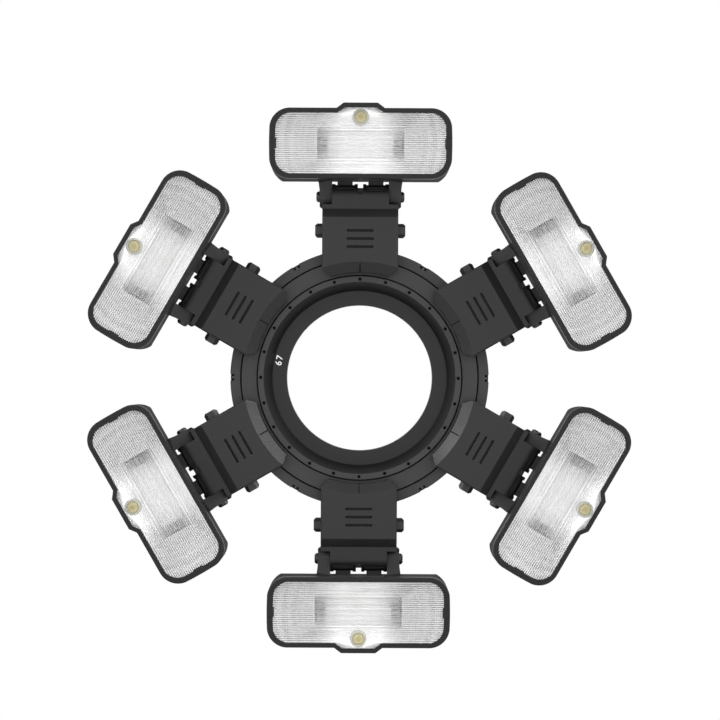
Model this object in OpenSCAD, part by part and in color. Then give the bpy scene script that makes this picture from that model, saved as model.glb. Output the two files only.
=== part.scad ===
// Macro ring flash: a lens ring with a rail, six clip arms that slide on it and six tilting flash heads.
// Millimetres. The lens axis runs along Y, the heads face -Y, +Z is up. The lens seat lies on Y = 0.
// "Height" along the lens axis is measured forward of the lens seat, towards the heads' faces.

/* [Lens adapter] */
// diameter of the lens thread
thread_d = 67; // [62:1:70]
// length of the threaded spigot
thread_len = 4.5; // [3:0.5:8]
// wall of the threaded spigot
thread_wall = 1.25; // [0.9:0.05:2]
// thickness of the adapter flange
flange_t = 3; // [2:0.25:4]
// width of the adapter's flat face
face_w = 6.35; // [5:0.05:8]
// width of the flange hidden under the index ring
flange_lap = 1.4; // [1:0.1:1.8]

/* [Index ring] */
// radial depth of the conical wall
cone_w = 3.7; // [3:0.1:5]
// height of the conical wall
cone_h = 8; // [7:0.25:9]
// width of the marked lip
lip_w = 2.5; // [2:0.1:3.5]
// height of the lip's outer wall
lip_h = 5; // [4:0.25:6]
// number of index dimples
dimple_n = 24; // [12:12:36]
// diameter of a dimple
dimple_d = 1.5; // [1:0.1:1.8]
// depth of a dimple
dimple_h = 1; // [0.3:0.1:1.4]

/* [Rail] */
// height of the band's front face
rail_f = 10; // [9:0.25:11]
// width of the flat band
band_w = 6.9; // [6:0.1:8]
// thickness of the band
band_t = 2.5; // [2:0.1:2.7]
// width of the thin groove
groove_w = 0.65; // [0.4:0.05:1]
// depth of the thin groove
groove_h = 1.6; // [0.8:0.1:1.8]
// width of the rim
rim_w = 4.4; // [4:0.1:5.5]
// step from the band down to the rim
rim_step = 0.5; // [0.2:0.1:1]
// small edge bevel of the rail
rail_bevel = 0.4; // [0.2:0.05:0.6]
// height where the rim meets the back ring
rim_foot = 3; // [2.5:0.25:3.5]
// how far the rail reaches behind the lens seat
rail_rear = 1; // [0.5:0.25:2]
// width of the hook groove
hook_w = 4; // [3.5:0.1:4.5]
// depth of the hook groove
hook_h = 2; // [1.6:0.1:2.4]
// rim left outside the hook groove
hook_rim = 3; // [2.5:0.1:3.5]
// radius that the back ring leaves free for the lens barrel
barrel_clear_r = 43; // [42.5:0.1:44]

/* [Rim screws] */
// number of rim screws
screw_n = 6; // [3:3:6]
// diameter of a screw shank
screw_d = 1.6; // [1.2:0.1:2]
// length of a screw shank
screw_len = 7; // [5:0.5:8]
// diameter of a screw head
screw_head_d = 2.5; // [2.2:0.1:2.8]
// height of a screw head
screw_head_h = 0.9; // [0.6:0.1:1.1]
// width of a rim notch
notch_w = 3.2; // [3:0.1:4]
// radial depth of a rim notch
notch_d = 1.7; // [1.5:0.1:2]
// height of the screws
screw_f = 6.2; // [5.8:0.1:6.6]

/* [Clip arm] */
// width of an arm
arm_w = 33.4; // [32:0.2:34]
// height of the arm's front face
arm_f = 18; // [17.5:0.25:19]
// bevel along the arm's edges
arm_bevel = 0.7; // [0.3:0.1:1.2]
// distance of the arm's tip from the index ring
tip_gap = 1.7; // [1.2:0.1:2.5]
// radial width of the tip bevel
tip_w = 4.5; // [3:0.25:5]
// drop of the tip bevel
tip_drop = 4; // [2:0.25:5]
// cut at the tip's corners
tip_cut = 3.6; // [2:0.2:4.5]
// radius where the step to the hinge begins
step_z = 70.5; // [70:0.25:71.5]
// radial length of the step
step_w = 3.8; // [3:0.2:4.2]
// drop of the step
step_drop = 3; // [2.5:0.25:3.5]
// height of the arm's rear face behind the lens seat
arm_rear = 4.6; // [4.4:0.1:6]
// number of grip grooves
grip_n = 3; // [2:1:4]
// length of a grip groove
grip_len = 12; // [8:0.5:16]
// width of a grip groove
grip_w = 1.2; // [0.8:0.05:1.4]
// depth of a grip groove
grip_h = 1.6; // [0.3:0.05:2]
// spacing of the grip grooves
grip_pitch = 3.55; // [3:0.05:4]
// radius of the middle of the grip grooves
grip_z = 61; // [58:0.5:62]
// length of the index slot
index_len = 3.6; // [2:0.1:4]
// width of the index slot
index_w = 0.4; // [0.3:0.05:0.8]
// depth of the index slot
index_h = 0.4; // [0.2:0.05:0.6]

/* [Hinge] */
// radius of the tilt axis
pivot_z = 79.8; // [79.5:0.1:80.5]
// radius of the hinge barrel
barrel_r = 5.75; // [5.5:0.05:6]
// length of the hinge barrel
barrel_w = 24.9; // [24:0.1:25.2]
// thickness of a hinge ear
ear_w = 5.5; // [5:0.1:6]
// radius of an ear's rounded end
ear_r = 3.2; // [3:0.1:3.4]
// how much wider an ear is at the head
ear_flare = 0.5; // [0.3:0.1:1.2]
// cut at the corners of an ear's end
ear_cut = 0.8; // [0.4:0.1:1]
// diameter of the hinge pin
pin_d = 2.6; // [2:0.1:3]
// diameter of a pin head
pin_head_d = 4.8; // [4:0.1:5]
// thickness of a pin head
pin_head_h = 1.35; // [1:0.05:2]
// angle between two click teeth
tooth_step = 15; // [12:1:18]
// radius of a click tooth
tooth_r = 0.4; // [0.3:0.02:0.44]
// depth of the tooth pockets
pocket_h = 1.3; // [1.1:0.05:1.5]
// width of a tooth pocket
pocket_w = 8.4; // [7:0.2:8.8]
// distance of the tooth pockets from the middle
pocket_x = 2.6; // [2.2:0.1:2.8]
// width of the notch in the barrel
gap_w = 2.3; // [1.6:0.1:2.8]
// width of a click pawl
pawl_w = 6.7; // [5:0.1:7]
// distance of a click pawl from the tilt axis
pawl_f = 0.3; // [0.2:0.05:0.4]
// thickness of a click pawl
pawl_t = 0.8; // [0.6:0.05:0.9]

/* [Flash head] */
// width of a head
head_w = 79.8; // [76:0.2:82]
// height of a head without its tab
head_h = 30.7; // [29.5:0.1:32]
// depth of a head
head_d = 36; // [34:0.5:40]
// height of a head's front face
head_f = 27; // [26:0.25:28]
// distance of a head from its tilt axis
head_rise = 6.9; // [6.7:0.1:7.4]
// outward bow of the short sides
head_bow = 0.7; // [0.4:0.1:1]
// radius of the front corners
head_r = 9; // [7:0.25:10]
// radius of the rear edges along the long sides
head_rear_r = 6; // [4:0.25:7]
// radius of the rear edges along the short sides
head_side_r = 14; // [12:0.5:15]
// how much a housing's long sides close in towards its back
head_draft = 0.9; // [0.6:0.1:1.2]
// wall of the housing
head_wall = 1.6; // [1.4:0.1:1.8]
// base width of the lamp tab
tab_w = 21; // [19:0.2:24]
// height of the lamp tab
tab_h = 2.3; // [2:0.1:2.6]
// run of the tab's sloping ends for one unit of height
tab_run = 1.33; // [1:0.01:1.6]
// length of the tab along the housing
tab_len = 15; // [13:0.5:18]
// depth of the seam between housing and bezel
seam_h = 0.45; // [0.2:0.05:0.7]

/* [Bezel and window] */
// depth of the bezel
bezel_d = 5; // [4.5:0.25:5.5]
// width of the bezel beside the window
bezel_side = 2.6; // [2.4:0.1:3]
// width of the bezel above and below the window
bezel_edge = 2.1; // [1.9:0.05:2.4]
// bevel round the bezel's front
bezel_bevel = 0.6; // [0.3:0.05:0.9]
// rebate that holds the window
rebate = 0.5; // [0.4:0.05:0.6]
// thickness of the bezel's front lip
bezel_lip = 1.4; // [1.2:0.1:1.6]
// length of the clip tabs at the short sides
clip_len = 4.4; // [3:0.1:6]
// reach of the clip tabs over the window
clip_w = 0.55; // [0.3:0.05:0.8]
// thickness of the window's flange
pane_t = 1.5; // [1.2:0.1:1.6]
// how far the window lies behind the bezel's front
pane_inset = 0.6; // [0.4:0.1:1]
// number of ribs on the window
rib_n = 29; // [20:1:32]
// depth of a rib
rib_h = 0.12; // [0.08:0.02:0.36]
// width of the plain patch round the lamp
patch_w = 17; // [14:0.5:17.4]
// height of the plain patch round the lamp
patch_h = 8.4; // [8:0.1:9]

/* [Inside a head] */
// half length of the reflector trough
trough_x = 19; // [17:0.5:22]
// radius of the reflector trough
trough_r = 6.5; // [6:0.1:7.2]
// depth of the reflector block
mirror_d = 13.8; // [13:0.2:14.2]
// depth of the reflector's pan
pan_d = 5; // [4:0.25:6]
// width of the pan's floor
pan_w = 50.6; // [46:0.2:56]
// height of the pan's floor
pan_h = 15.2; // [14.4:0.1:18]
// thickness of the reflector's rim above the lamp
mirror_rim = 1; // [0.8:0.1:1.2]
// diameter of the flash tube
tube_d = 3.6; // [3:0.1:4]
// length of the flash tube
tube_len = 46; // [45:1:50]
// diameter of the modelling lamp
lamp_d = 7; // [6:0.1:7.2]
// length of the modelling lamp
lamp_len = 8.5; // [8:0.25:9]
// distance of the lamp from the head's middle
lamp_rise = 11.7; // [11.4:0.05:11.9]
// thickness of the circuit board
board_t = 1.6; // [1.2:0.1:1.8]
// diameter of the main capacitor
cap_d = 10; // [8:0.5:10.5]
// length of the main capacitor
cap_len = 34; // [25:1:40]
// diameter of the battery cell
cell_d = 13; // [12:0.25:13.25]
// length of the battery cell
cell_len = 50; // [40:1:55]

/* [Back of a head] */
// width of the control panel
panel_w = 46; // [40:1:50]
// height of the control panel
panel_h = 15; // [13:0.5:16]
// depth of the control panel
panel_d = 0.6; // [0.4:0.1:0.8]
// number of keys
key_n = 3; // [2:1:3]
// diameter of a key
key_d = 5.5; // [5:0.25:6.5]
// width of the charging port
port_w = 9; // [8.5:0.1:9.5]
// height of the charging port
port_h = 3.3; // [3:0.1:3.6]

/* [Clip] */
// travel of the release buttons
press = 2; // [1.5:0.1:2.1]
// radius of the button axis
button_z = 65; // [64.5:0.25:65.5]
// height of the button axis
button_f = 7; // [6.8:0.1:7.4]
// size of a button along the radius
button_h = 6.2; // [6:0.1:6.6]
// size of a button along the lens axis
button_d = 7; // [6.6:0.1:7.2]
// bevel along a button's sides
button_bevel = 1.5; // [1:0.1:1.8]
// bevel round a button's end
button_end = 0.9; // [0.5:0.1:1.2]
// how far a button stands out of the arm
button_out = 3.2; // [2.8:0.1:3.6]
// length of a button's head
button_len = 5.8; // [5:0.1:6]
// size of a button's stem
stem = 4; // [3.6:0.1:4.4]
// width of the jaw
jaw_w = 28; // [26:0.5:29]
// radius of the jaw's outer end
jaw_z = 69.6; // [69.4:0.1:70]
// top width of the jaw's wedge
wedge_w = 2; // [1.6:0.1:2.4]
// width of the jaw's wedge at its foot
wedge_foot = 15; // [14:0.5:16]

/* [Clearances] */
// gap between parts that slide or turn
run = 0.35; // [0.3:0.05:0.4]
// gap between parts that are fixed together
seat = 0.05; // [0.03:0.01:0.1]
// gap between the flat faces beside the hinge barrel
hinge_gap = 0.08; // [0.05:0.01:0.15]
// gap round the hinge pin
pin_gap = 0.1; // [0.05:0.01:0.2]
// visible gap between the rings
ring_gap = 0.3; // [0.2:0.05:0.4]

/* [Hidden] */
// number of arms and heads
unit_n = 6;
// curve steps
$fn = 72;
// reach of cutting shapes
far = 200;
// overlap of joined shapes
lap = 0.5;
// overlap of arcs that run into each other
blend = 0.02;

// radii of the rings
thread_r = thread_d / 2;
bore_r = thread_r - thread_wall;
foot_r = bore_r + face_w;
flange_r = foot_r + flange_lap;
lip_in_r = foot_r + cone_w;
lip_out_r = lip_in_r + lip_w;
band_in_r = lip_out_r + ring_gap;
band_out_r = band_in_r + band_w;
rim_in_r = band_out_r + groove_w;
rim_r = rim_in_r + rim_w;
neck_r = flange_r + flange_lap;
hook_out_r = rim_r - hook_rim;
hook_in_r = hook_out_r - hook_w;

// heights of the rings
lip_f = flange_t + cone_h;
lip_foot = lip_f - lip_h;
rim_f = rail_f - rim_step;
groove_f = rail_f - groove_h;
band_foot = rail_f - band_t;

// the arm
throat_r = rim_r + run;
tip_r = lip_out_r + tip_gap;
hinge_f = arm_f - step_drop;
pivot_f = hinge_f - barrel_r;
shelf_z = pivot_z - ear_r - run;
ear_x = barrel_w / 2 + hinge_gap;
pin_x = ear_x + ear_w;
gap_f = pivot_f + barrel_r * 0.45;
gap_floor = pivot_z + barrel_r * 0.17;
gap_through = pivot_z + barrel_r * 0.67;
pawl_tip = pivot_z + barrel_r - pocket_h + tooth_r + run;
// first and last angle of the tooth pockets, from the front over the top
pocket_right = [19, 108];
pocket_left = [29, 108];
first_tooth = 24;
last_tooth = 99;

// the head, measured from its own middle
head_z = pivot_z + head_rise + head_h / 2;
head_back = head_f - head_d;
bezel_f = head_f - bezel_d;
draft = head_draft / head_d;
view_w = head_w - 2 * bezel_side;
view_h = head_h - 2 * bezel_edge;
view_r = head_r - bezel_edge;
view_tab = tab_w - 0.3 * bezel_edge;
pane_f = head_f - bezel_lip - seat;
mirror_f = pane_f - pane_t - rib_h - seat;
mirror_back = mirror_f - mirror_d;
mirror_w = view_w + rebate;
mirror_h = view_h + rebate;
mirror_r = view_r + rebate / 2;
tube_f = mirror_f - pan_d - trough_r / 2;
board_f = mirror_back - 3 * seat;
lamp_f = mirror_f - 3 * seat;
cell_f = board_f - board_t - cell_d / 2 - 3 * seat;
cell_z = mirror_h / 2 - cell_d / 2 - head_wall;
cap_z = cap_d / 2 - mirror_h / 2 + head_draft / 2 + seat;
port_f = (head_back + head_side_r + bezel_f) / 2;

// the clip
button_x = arm_w / 2 + button_out;
wedge_f = button_f + stem / 2;
wedge_sum = wedge_w / 2 + wedge_f;
ramp_sum = wedge_sum + run * sqrt(2);
stem_tip = press + 0.6;
jaw_f = -rail_rear - run;

// names of the nodes of one arm and head
UNIT = [
    "arm", "jaw", "release_left", "release_right", "hinge_pin", "head_shell", "bezel", "window", "flash_core"
];
// node to build

// solid of revolution about the lens axis from points of radius and height
module turned(points) {
    rotate([90, 0, 0])
        rotate_extrude()
            polygon(points);
}

// front view shape (across, up) made solid between two heights
module front(f0, f1) {
    rotate([90, 0, 0])
        translate([0, 0, f0])
            linear_extrude(height = f1 - f0)
                children();
}

// side view shape (height, up) made solid between two positions across
module side(x0, x1) {
    rotate([90, 0, -90])
        translate([0, 0, -x1])
            linear_extrude(height = x1 - x0)
                children();
}

// top view shape (across, height) made solid between two positions up
module above(z0, z1) {
    translate([0, 0, z1])
        rotate([180, 0, 0])
            linear_extrude(height = z1 - z0)
                children();
}

// the place of arm and head k, clockwise from the top
module at_unit(k) {
    rotate([0, (k - 1) * 360 / unit_n, 0])
        children();
}

// the same shape on the left and on the right
module both() {
    children();
    mirror([1, 0, 0])
        children();
}

module lens_adapter() {
    color("#262729")
        turned([
            [bore_r, -thread_len], [thread_r, -thread_len], [thread_r, 0], [flange_r, 0],
            [flange_r, flange_t], [bore_r, flange_t]
        ]);
}

module index_ring() {
    color("#3a3b3d")
        difference() {
            turned([
                [foot_r, flange_t], [neck_r, flange_t], [neck_r, lip_foot], [lip_out_r, lip_foot],
                [lip_out_r, lip_f], [lip_in_r, lip_f]
            ]);
            for (i = [0:dimple_n - 1])
                rotate([0, i * 360 / dimple_n, 0])
                    translate([0, 0, (lip_in_r + lip_out_r) / 2])
                        rotate([90, 0, 0])
                            translate([0, 0, lip_f - dimple_h])
                                cylinder(d = dimple_d, h = 2 * dimple_h, $fn = 24);
        }
}

module at_screws() {
    for (i = [0:screw_n - 1])
        rotate([0, (i + 0.5) * 360 / screw_n, 0])
            children();
}

module rail_ring() {
    color("#3f4042")
        difference() {
            turned([
                [band_in_r, band_foot], [band_in_r, rail_f - rail_bevel], [band_in_r + rail_bevel, rail_f],
                [band_out_r, rail_f], [band_out_r, groove_f], [rim_in_r, groove_f], [rim_in_r, rim_f],
                [rim_r - rail_bevel, rim_f], [rim_r, rim_f - rail_bevel], [rim_r, rim_foot],
                [rim_in_r, rim_foot], [rim_in_r, band_foot]
            ]);
            at_screws() {
                front(screw_f - screw_head_d / 2 - run, far)
                    translate([-notch_w / 2, rim_r - notch_d])
                        square([notch_w, far]);
                translate([0, -screw_f, rim_r - notch_d - screw_len])
                    cylinder(d = screw_d + 2 * seat, h = screw_len + lap, $fn = 24);
            }
        }
}

module back_ring() {
    color("#343537")
        difference() {
            turned([
                [flange_r + seat, 0], [flange_r + seat, flange_t - seat], [neck_r + seat, flange_t - seat],
                [neck_r + seat, lip_foot - seat], [lip_out_r + seat, lip_foot - seat],
                [lip_out_r + seat, band_foot - seat], [rim_in_r - seat, band_foot - seat],
                [rim_in_r - seat, rim_foot - seat], [rim_r, rim_foot - seat], [rim_r, -rail_rear],
                [hook_out_r, -rail_rear], [hook_out_r, hook_h - rail_rear], [hook_in_r, hook_h - rail_rear],
                [hook_in_r, -rail_rear], [barrel_clear_r, -rail_rear], [barrel_clear_r, 0]
            ]);
            at_screws()
                translate([0, -screw_f, rim_r - notch_d - screw_len - lap])
                    cylinder(d = screw_d + 2 * seat, h = far, $fn = 24);
        }
}

module rim_screws() {
    color("#8b8d90")
        at_screws()
            translate([0, -screw_f, rim_r - notch_d]) {
                translate([0, 0, -screw_len])
                    cylinder(d = screw_d, h = screw_len + lap, $fn = 24);
                difference() {
                    translate([0, 0, seat])
                        cylinder(d = screw_head_d, h = screw_head_h, $fn = 24);
                    translate([0, 0, screw_head_h - seat])
                        cube([screw_head_d * 2, screw_d / 4, screw_head_h], center = true);
                }
            }
}

// side view of the arm: plate, step, hinge barrel and the block behind the rim
module arm_side() {
    polygon([
        [arm_f, 0], [arm_f, step_z], [hinge_f, step_z + step_w], [hinge_f, pivot_z],
        [pivot_f - barrel_r, pivot_z], [pivot_f - barrel_r, shelf_z - run], [-arm_rear, jaw_z + 1],
        [-arm_rear, 0]
    ]);
    translate([pivot_f, pivot_z])
        circle(r = barrel_r);
}

// front view of the arm with its cut tip corners and the shoulders below the ears
module arm_front() {
    half = arm_w / 2;
    low = sqrt(pow(tip_r, 2) - pow(half - tip_cut, 2));
    polygon([
        [half - tip_cut, 0], [half - tip_cut, low], [half, low + tip_cut], [half, shelf_z],
        [barrel_w / 2, shelf_z], [barrel_w / 2, far], [-barrel_w / 2, far], [-barrel_w / 2, shelf_z],
        [-half, shelf_z], [-half, low + tip_cut], [-half + tip_cut, low], [-half + tip_cut, 0]
    ]);
}

// top view of the arm with its bevelled front edges
module arm_above() {
    half = arm_w / 2;
    polygon([
        [-half, -far], [half, -far], [half, arm_f - arm_bevel], [half - arm_bevel, arm_f],
        [-half + arm_bevel, arm_f], [-half, arm_f - arm_bevel]
    ]);
}

// sector of the tooth pockets in side view
module pocket(angles) {
    reach = 2 * barrel_r;
    difference() {
        polygon([
            [0, 0], [reach * cos(angles[0]), reach * sin(angles[0])],
            [reach * cos((angles[0] + angles[1]) / 2), reach * sin((angles[0] + angles[1]) / 2)],
            [reach * cos(angles[1]), reach * sin(angles[1])]
        ]);
        circle(r = barrel_r - pocket_h);
        for (a = [first_tooth:tooth_step:last_tooth])
            rotate(a)
                translate([barrel_r - pocket_h, 0])
                    circle(r = tooth_r, $fn = 16);
    }
}

// side view of a button head, bevelled along its four edges
module button_side(grow) {
    a = button_d / 2 + grow;
    b = button_h / 2 + grow;
    c = button_bevel;
    polygon([
        [a - c, -b], [a, c - b], [a, b - c], [a - c, b], [c - a, b], [-a, b - c], [-a, c - b], [c - a, -b]
    ]);
}

// rounded slot lying across
module slot_shape(length, width) {
    square([length - width, width], center = true);
    for (s = [-1, 1])
        translate([s * (length - width) / 2, 0])
            circle(d = width);
}

module arm() {
    color("#424345")
        difference() {
            union() {
                intersection() {
                    side(-arm_w / 2, arm_w / 2)
                        arm_side();
                    front(-arm_rear, arm_f)
                        arm_front();
                    above(0, far)
                        arm_above();
                }
                // shoulders below the hinge ears, and the webs behind them
                both() {
                    front(pivot_f - barrel_r, pivot_f - ear_r / 2)
                        polygon([
                            [arm_w / 2 - lap, shelf_z - ear_r / 2], [arm_w / 2, shelf_z - ear_r / 2],
                            [pin_x, shelf_z - ear_r / 6], [pin_x, shelf_z], [arm_w / 2 - lap, shelf_z]
                        ]);
                    front(pivot_f - barrel_r, pivot_f - ear_r - 3 * run)
                        translate([barrel_w / 2 - lap, shelf_z - lap])
                            square([pin_x - barrel_w / 2 + lap, pivot_z - shelf_z + lap]);
                }
            }
            // tip bevel, concentric with the ring
            turned([
                [0, -far], [tip_r, -far], [tip_r, arm_f - tip_drop], [tip_r + tip_w, arm_f],
                [tip_r + tip_w, far], [0, far]
            ]);
            // throat that takes the rail
            turned([[0, -far], [throat_r, -far], [throat_r, rail_f + run], [0, rail_f + run]]);
            // grip grooves
            for (i = [0:grip_n - 1])
                front(arm_f - grip_h, far)
                    translate([0, grip_z + (i - (grip_n - 1) / 2) * grip_pitch])
                        slot_shape(grip_len, grip_w);
            // index slot on the tip
            side(-index_w / 2, index_w / 2)
                polygon([
                    [arm_f - tip_drop - index_h, tip_r - lap],
                    [arm_f - tip_drop - index_h + index_len * tip_drop / tip_w, tip_r + index_len],
                    [far, tip_r + index_len], [far, tip_r - lap]
                ]);
            // notch, tooth pockets and pin bore of the hinge barrel
            translate([-gap_w / 2, -far, gap_floor])
                cube([gap_w, far - gap_f, far]);
            translate([-gap_w / 2, -far, gap_through])
                cube([gap_w, 2 * far, far]);
            side(pocket_x, pocket_x + pocket_w)
                translate([pivot_f, pivot_z])
                    pocket(pocket_right);
            side(-pocket_x - pocket_w, -pocket_x)
                translate([pivot_f, pivot_z])
                    pocket(pocket_left);
            side(-far, far)
                translate([pivot_f, pivot_z])
                    circle(d = pin_d + 2 * pin_gap);
            // room for the buttons, their stems and the jaw
            both() {
                side(button_x - button_len - press - run, far)
                    translate([button_f, button_z])
                        button_side(run);
                side(0, arm_w / 2)
                    translate([button_f, button_z])
                        square(stem + 2 * run, center = true);
            }
            above(button_z - stem / 2 - run, button_z + stem / 2 + run)
                translate([-wedge_foot / 2 - run, -far])
                    square([wedge_foot + 2 * run, far + wedge_f + run]);
            translate([-jaw_w / 2 - run, -jaw_f - run, 0])
                cube([jaw_w + 2 * run, far, jaw_z + run]);
        }
}

module jaw() {
    color("#37383a")
        difference() {
            union() {
                front(-arm_rear, jaw_f)
                    translate([-jaw_w / 2, 0])
                        square([jaw_w, jaw_z]);
                intersection() {
                    turned([
                        [hook_in_r + run, jaw_f - lap], [hook_out_r - run, jaw_f - lap],
                        [hook_out_r - run, hook_h - rail_rear - run], [hook_in_r + run, hook_h - rail_rear - run]
                    ]);
                    front(-arm_rear, far)
                        translate([-jaw_w / 2, 0])
                            square([jaw_w, far]);
                }
                above(button_z - stem / 2, button_z + stem / 2)
                    polygon([
                        [-wedge_w / 2, wedge_f], [wedge_w / 2, wedge_f],
                        [wedge_foot / 2, wedge_sum - wedge_foot / 2], [wedge_foot / 2, jaw_f - lap],
                        [-wedge_foot / 2, jaw_f - lap], [-wedge_foot / 2, wedge_sum - wedge_foot / 2]
                    ]);
            }
            turned([[0, -far], [hook_in_r - lap, -far], [hook_in_r - lap, far], [0, far]]);
        }
}

module release_right() {
    color("#2c2d2f")
        union() {
            intersection() {
                side(button_x - button_len, button_x)
                    translate([button_f, button_z])
                        button_side(0);
                front(-far, far)
                    polygon([
                        [0, button_z - button_h], [button_x - button_end, button_z - button_h],
                        [button_x - button_end, button_z - button_h / 2],
                        [button_x, button_z - button_h / 2 + button_end],
                        [button_x, button_z + button_h / 2 - button_end],
                        [button_x - button_end, button_z + button_h / 2],
                        [button_x - button_end, button_z + button_h], [0, button_z + button_h]
                    ]);
            }
            above(button_z - stem / 2, button_z + stem / 2)
                polygon([
                    [stem_tip, button_f + stem / 2], [stem_tip, ramp_sum - stem_tip],
                    [ramp_sum - button_f + stem / 2, button_f - stem / 2],
                    [button_x - button_len + lap, button_f - stem / 2],
                    [button_x - button_len + lap, button_f + stem / 2]
                ]);
        }
}

module release_left() {
    mirror([1, 0, 0])
        release_right();
}

module hinge_pin() {
    color("#55575a")
        translate([0, -pivot_f, pivot_z])
            rotate([0, 90, 0]) {
                cylinder(d = pin_d, h = 2 * (pin_x + pin_head_h - lap), center = true, $fn = 32);
                for (turn = [0, 180])
                    rotate([turn, 0, 0])
                        translate([0, 0, pin_x + seat]) {
                            cylinder(d = pin_head_d, h = pin_head_h / 2, $fn = 32);
                            translate([0, 0, pin_head_h / 2])
                                cylinder(d1 = pin_head_d, d2 = pin_head_d - pin_head_h, h = pin_head_h / 2, $fn = 32);
                        }
            }
}

// rectangle with round corners and bowed short sides
module bowed(w, h, r) {
    big = (pow(h / 2, 2) + pow(head_bow, 2)) / (2 * head_bow);
    zc = h / 2 - r;
    xc = w / 2 - big + sqrt(pow(big - r, 2) - pow(zc, 2));
    zt = zc * big / (big - r);
    intersection() {
        union() {
            square([2 * (xc + blend), h], center = true);
            square([2 * w, 2 * zt], center = true);
            for (sx = [-1, 1], sz = [-1, 1])
                translate([sx * (xc + blend), sz * zc])
                    circle(r = r);
        }
        translate([w / 2 - big, 0])
            circle(r = big, $fn = 360);
        translate([big - w / 2, 0])
            circle(r = big, $fn = 360);
    }
}

// tab on the outer long side of a head, with sloping ends
module tab(h, w, rise) {
    polygon([
        [-w / 2, h / 2 - tab_h], [-w / 2, h / 2], [tab_run * rise - w / 2, h / 2 + rise],
        [w / 2 - tab_run * rise, h / 2 + rise], [w / 2, h / 2], [w / 2, h / 2 - tab_h]
    ]);
}

// front outline of a head, drawn in by a margin
module head_outline(inset) {
    bowed(head_w - 2 * inset, head_h - 2 * inset, head_r - inset);
    tab(head_h - 2 * inset, tab_w - inset, tab_h);
}

// outline of the window's opening, let out by a margin
module view_outline(grow) {
    bowed(view_w + 2 * grow, view_h + 2 * grow, view_r + grow);
    tab(view_h + 2 * grow, view_tab + grow, tab_h);
}

// shape that is rounded at its rear end: height along x, half width along y
module rear_round(f0, half, r) {
    translate([f0 + r, -far])
        square([far, 2 * far]);
    translate([f0, r - half])
        square([far, 2 * (half - r)]);
    for (s = [-1, 1])
        translate([f0 + r, s * (half - r)])
            circle(r = r);
}

// side view that closes in towards the back: height along x, half width along y
module drafted(half) {
    rear = half - draft * (head_f + far);
    fore = half + draft * (far - head_f);
    polygon([[-far, -rear], [far, -fore], [far, fore], [-far, rear]]);
}

// body of the housing with rounded rear edges, drawn in by a margin, in head coordinates
module head_body(inset, f1) {
    f0 = head_back + inset;
    half = head_h / 2 - inset;
    r = head_rear_r - inset;
    intersection() {
        front(f0, f1)
            bowed(head_w - 2 * inset, 2 * half, head_r - inset);
        side(-far, far)
            intersection() {
                rear_round(f0, half - draft * (head_f - f0 - r) + blend, r + blend);
                drafted(half);
            }
        above(-far, far)
            rotate(90)
                rear_round(f0, head_w / 2 - inset + blend, head_side_r - inset + blend);
    }
}

// lamp ridge along the outer side of the housing, with a sloping rear end
module head_ridge(inset, f1) {
    f0 = bezel_f - tab_len + 2 * inset;
    foot = head_h / 2 - inset;
    intersection() {
        front(f0, f1)
            tab(head_h - 2 * inset, tab_w - inset, tab_h);
        side(-far, far)
            polygon([[f0, 0], [f0, foot - lap], [f0 + 4 * tab_h, foot - lap + 2 * tab_h], [far, far], [far, 0]]);
    }
}

module head_shell() {
    color("#343537")
        translate([0, 0, head_z])
            difference() {
                union() {
                    head_body(0, bezel_f - seam_h);
                    head_ridge(0, bezel_f - seam_h);
                    front(bezel_f - 2 * seam_h, bezel_f)
                        head_outline(seam_h);
                    both() {
                        translate([0, 0, -head_z])
                            intersection() {
                                side(ear_x, pin_x + ear_flare)
                                    ear_side();
                                front(-far, far)
                                    ear_front();
                            }
                        // click pawl, reaching into a tooth pocket
                        front(pivot_f + pawl_f, pivot_f + pawl_f + pawl_t)
                            translate([pocket_x + (pocket_w - pawl_w) / 2, pawl_tip - head_z])
                                square([pawl_w, pivot_z + head_rise + head_wall - pawl_tip]);
                    }
                }
                head_body(head_wall, bezel_f + seam_h);
                head_ridge(head_wall, far);
                side(-far, far)
                    translate([pivot_f, pivot_z - head_z])
                        circle(d = pin_d + 2 * seat);
                // control panel on the back, with its keys left standing
                front(head_back - lap, head_back + panel_d)
                    difference() {
                        slot_shape(panel_w, panel_h);
                        for (i = [0:key_n - 1])
                            translate([panel_w / 2 - panel_h / 2 - i * (key_d + 1.2), 0])
                                circle(d = key_d);
                    }
                // charging port
                side(head_w / 2 - head_wall * 0.65, far)
                    translate([port_f, 0])
                        slot_shape(port_w, port_h);
            }
}

// side view of a hinge ear, rounded about the tilt axis
module ear_side() {
    foot = ear_r * 1.4;
    translate([pivot_f, pivot_z]) {
        circle(r = ear_r);
        polygon([
            [-ear_r, 0], [ear_r, 0], [foot, head_rise], [foot, head_rise + head_wall],
            [-foot, head_rise + head_wall], [-foot, head_rise]
        ]);
    }
}

// front view of a hinge ear: a cut end, and wider towards the head
module ear_front() {
    end = pivot_z - ear_r;
    polygon([
        [ear_x, pivot_z + head_rise + head_wall], [ear_x, end + ear_cut], [ear_x + ear_cut, end],
        [pin_x - ear_cut, end], [pin_x, end + ear_cut], [pin_x, pivot_z + ear_r],
        [pin_x + ear_flare, pivot_z + head_rise], [pin_x + ear_flare, pivot_z + head_rise + head_wall]
    ]);
}

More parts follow.
